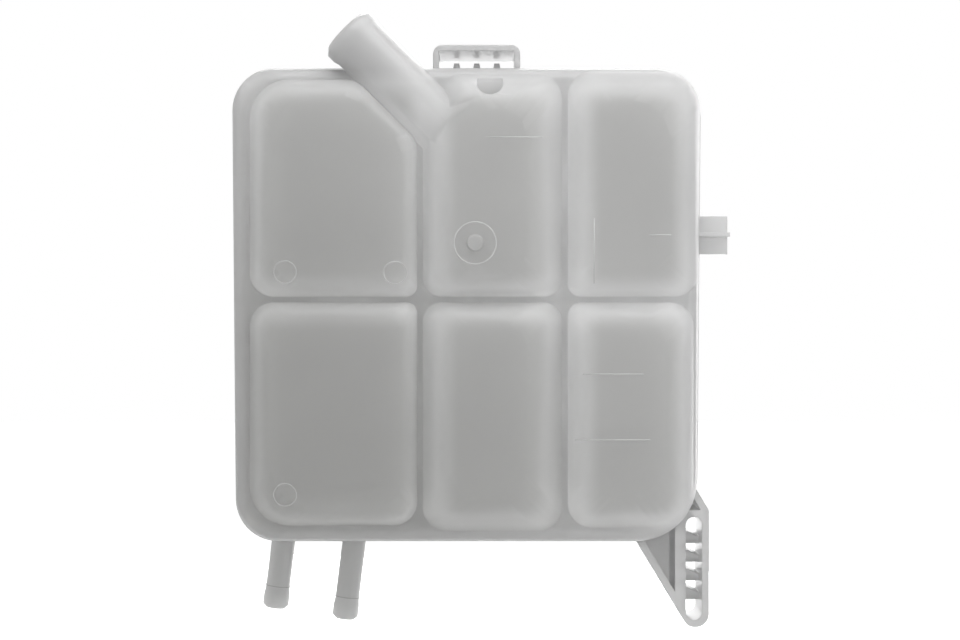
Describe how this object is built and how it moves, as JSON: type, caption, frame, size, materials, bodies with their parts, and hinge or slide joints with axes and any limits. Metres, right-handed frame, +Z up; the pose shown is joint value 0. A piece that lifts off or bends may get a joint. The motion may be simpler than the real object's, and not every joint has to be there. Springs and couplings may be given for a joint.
{
  "type": "coolant expansion tank",
  "caption": "Flat square coolant expansion tank in two welded translucent half shells with bulged cells, an angled hose spigot, small hose nipples, a hook loop, a tab and a slotted bracket.",
  "frame": {"origin": "middle of the hook loop's window on the top edge, halfway along the loop's depth", "axes": "+Z up, from the hose nipples to the hook loop; -Y out of the pictured face; +X to the right of that face, towards the side tab"},
  "size_m": [0.1946, 0.105, 0.2372],
  "materials": {
    "natural_plastic": "translucent natural polypropylene with a soft gloss"
  },
  "bodies": {
    "root": {"front_half": "natural_plastic", "rear_half": "natural_plastic"}
  },
  "joints": []
}
